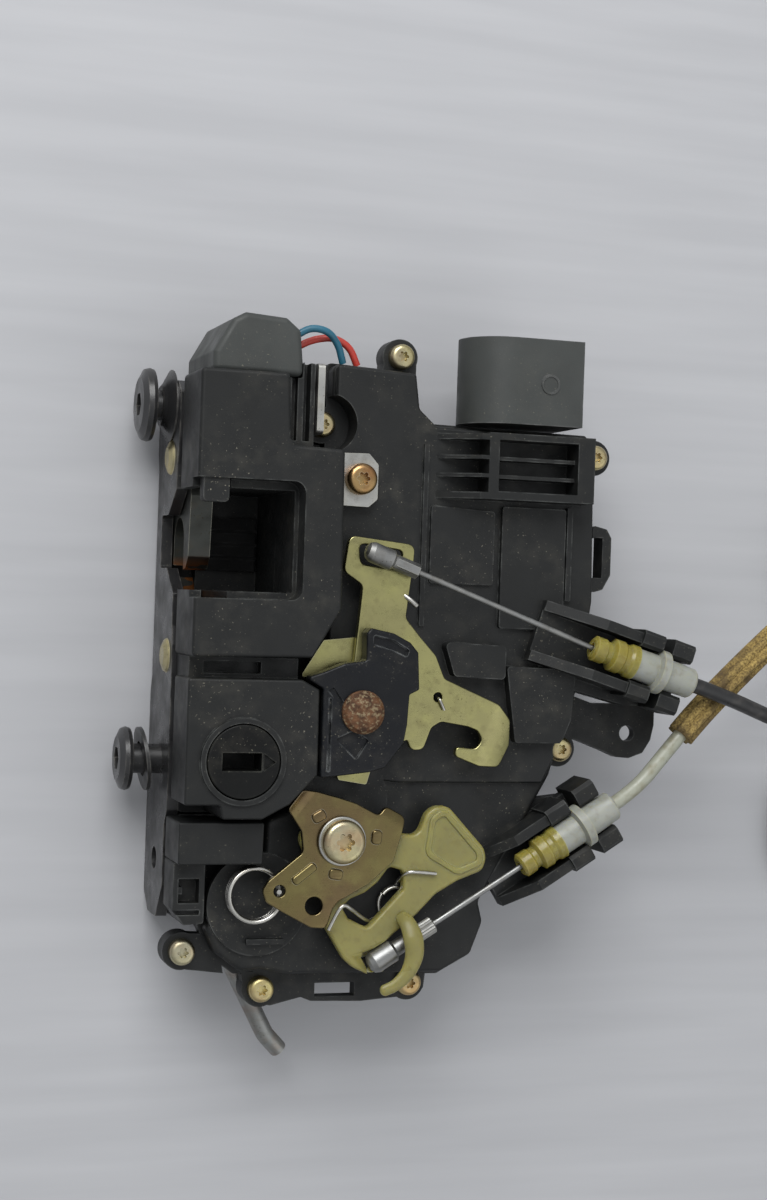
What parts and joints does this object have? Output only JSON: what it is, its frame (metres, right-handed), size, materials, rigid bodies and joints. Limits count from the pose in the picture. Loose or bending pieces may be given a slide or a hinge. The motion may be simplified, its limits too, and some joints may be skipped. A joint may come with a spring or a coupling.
{
  "type": "door latch actuator",
  "caption": "Car door latch with lock module: striker mouth, claw and pawl, plated levers, key coupling, plug socket and two Bowden cables.",
  "frame": {"origin": "on the surface it lies on, under the middle of the latch without its free cables", "axes": "+X from the face plate into the module, +Y up the door, +Z from the back towards the levers"},
  "size_m": [0.2592, 0.1994, 0.0516],
  "materials": {
    "black_plastic": "moulded, dusty",
    "grey_plastic": "moulded, satin",
    "key_plastic": "moulded, dusty",
    "coated_plastic": "over-moulded, greased",
    "plate_steel": "black e-coat",
    "claw_steel": "phosphated, rust at the tip",
    "pin_steel": "yellow zinc plated",
    "rubber": "matt",
    "zinc_plate": "zinc plated",
    "yellow_zinc": "yellow chromated",
    "lever_zinc": "yellow chromated, worn",
    "nylon": "natural nylon, yellowed",
    "rusty_steel": "rusted",
    "spring_steel": "drawn wire",
    "nipple_zinc": "die cast, dull",
    "crank_steel": "dull zinc",
    "amber_rubber": "translucent amber",
    "white_plastic": "moulded, satin",
    "black_sheath": "extruded, satin",
    "clear_sheath": "extruded, translucent white",
    "foam": "ribbed foam sleeve",
    "blue_wire": "insulation",
    "red_wire": "insulation",
    "contact_brass": "tinned"
  },
  "bodies": {
    "housing": {"face_plate": "plate_steel", "latch_cover": "black_plastic", "latch_base": "black_plastic", "bumper": "rubber", "latch_pins": "pin_steel", "end_cap": "grey_plastic", "side_bar": "zinc_plate", "wire_blue": "blue_wire", "wire_red": "red_wire", "upper_bolt": "plate_steel", "upper_washer": "plate_steel", "lower_bolt": "plate_steel", "lower_washer": "plate_steel", "key_housing": "black_plastic", "corner_block": "black_plastic", "rear_housing": "black_plastic", "front_housing": "black_plastic", "cable_bracket_1": "black_plastic", "cable_bracket_2": "black_plastic", "side_loop": "black_plastic", "connector_shroud": "grey_plastic", "connector_pins": "contact_brass", "housing_screws": "yellow_zinc", "tab_plate": "zinc_plate", "tab_screw": "yellow_zinc", "rivet": "rusty_steel", "pivot_screw": "yellow_zinc", "pivot_cover": "coated_plastic", "cover_core": "lever_zinc", "cable_1_boot": "amber_rubber", "cable_2_boot": "amber_rubber", "cable_1_ferrule": "white_plastic", "cable_2_ferrule": "white_plastic", "lever_spring": "spring_steel", "link_spring": "spring_steel", "cord_1_sheath": "black_sheath", "cord_1_coil": "black_sheath", "cord_1_end": "white_plastic", "cord_2_sheath": "clear_sheath", "cord_2_sleeve": "foam", "cord_2_coil": "clear_sheath", "cord_2_end": "white_plastic"},
    "claw": {"claw": "claw_steel"},
    "pawl": {"pawl": "claw_steel"},
    "key_coupling": {"key_rotor": "key_plastic"},
    "release_lever": {"release_lever": "lever_zinc"},
    "nylon_lever": {"nylon_lever": "nylon"},
    "lock_plate": {"lock_plate": "lever_zinc"},
    "cable_1": {"cable_1_pull": "nipple_zinc"},
    "cable_2": {"cable_2_pull": "nipple_zinc"},
    "crank": {"crank_rod": "crank_steel"}
  },
  "joints": [
    {"name": "claw_turn", "type": "hinge", "parent": "housing", "child": "claw", "pos_m": [-0.0584, 0.0613, 0.017], "axis": [1, 0, 0], "range_deg": [-50, 0]},
    {"name": "release_turn", "type": "hinge", "parent": "housing", "child": "release_lever", "pos_m": [-0.0189, -0.0031, 0.042], "axis": [0, 0, 1], "range_deg": [-15, 0], "stiffness_Nm_per_rad": 0.4, "springref_deg": 17.19},
    {"name": "pawl_turn", "type": "hinge", "parent": "housing", "child": "pawl", "pos_m": [-0.0584, 0.0093, 0.019], "axis": [1, 0, 0], "range_deg": [-12, 0]},
    {"name": "cable_1_swivel", "type": "hinge", "parent": "release_lever", "child": "cable_1", "pos_m": [-0.0162, 0.0377, 0.0456], "axis": [0, 0, 1], "range_deg": [0, 13.4]},
    {"name": "key_turn", "type": "hinge", "parent": "housing", "child": "key_coupling", "pos_m": [-0.0497, -0.0161, 0.04], "axis": [0, 0, 1], "range_deg": [-60, 60]},
    {"name": "lock_turn", "type": "hinge", "parent": "housing", "child": "nylon_lever", "pos_m": [-0.0222, -0.0365, 0.039], "axis": [0, 0, 1], "range_deg": [0, 14], "deforming": ["link_spring"]},
    {"name": "lock_plate_turn", "type": "hinge", "parent": "housing", "child": "lock_plate", "pos_m": [-0.0222, -0.0365, 0.042], "axis": [0, 0, 1], "range_deg": [0, 14], "deforming": ["lever_spring"]},
    {"name": "cable_2_swivel", "type": "hinge", "parent": "nylon_lever", "child": "cable_2", "pos_m": [-0.0102, -0.0681, 0.0404], "axis": [0, 0, 1], "range_deg": [-13, 0]},
    {"name": "crank_turn", "type": "hinge", "parent": "housing", "child": "crank", "pos_m": [-0.0416, -0.0767, 0.018], "axis": [0.4633, -0.8862, 0], "range_deg": [-30, 30]}
  ],
  "couplings": [
    {"joint": "pawl_turn", "follows": "release_turn", "ratio": 0.8},
    {"joint": "cable_1_swivel", "follows": "release_turn", "ratio": -0.887},
    {"joint": "lock_plate_turn", "follows": "lock_turn", "ratio": 1},
    {"joint": "cable_2_swivel", "follows": "lock_turn", "ratio": -0.92}
  ]
}
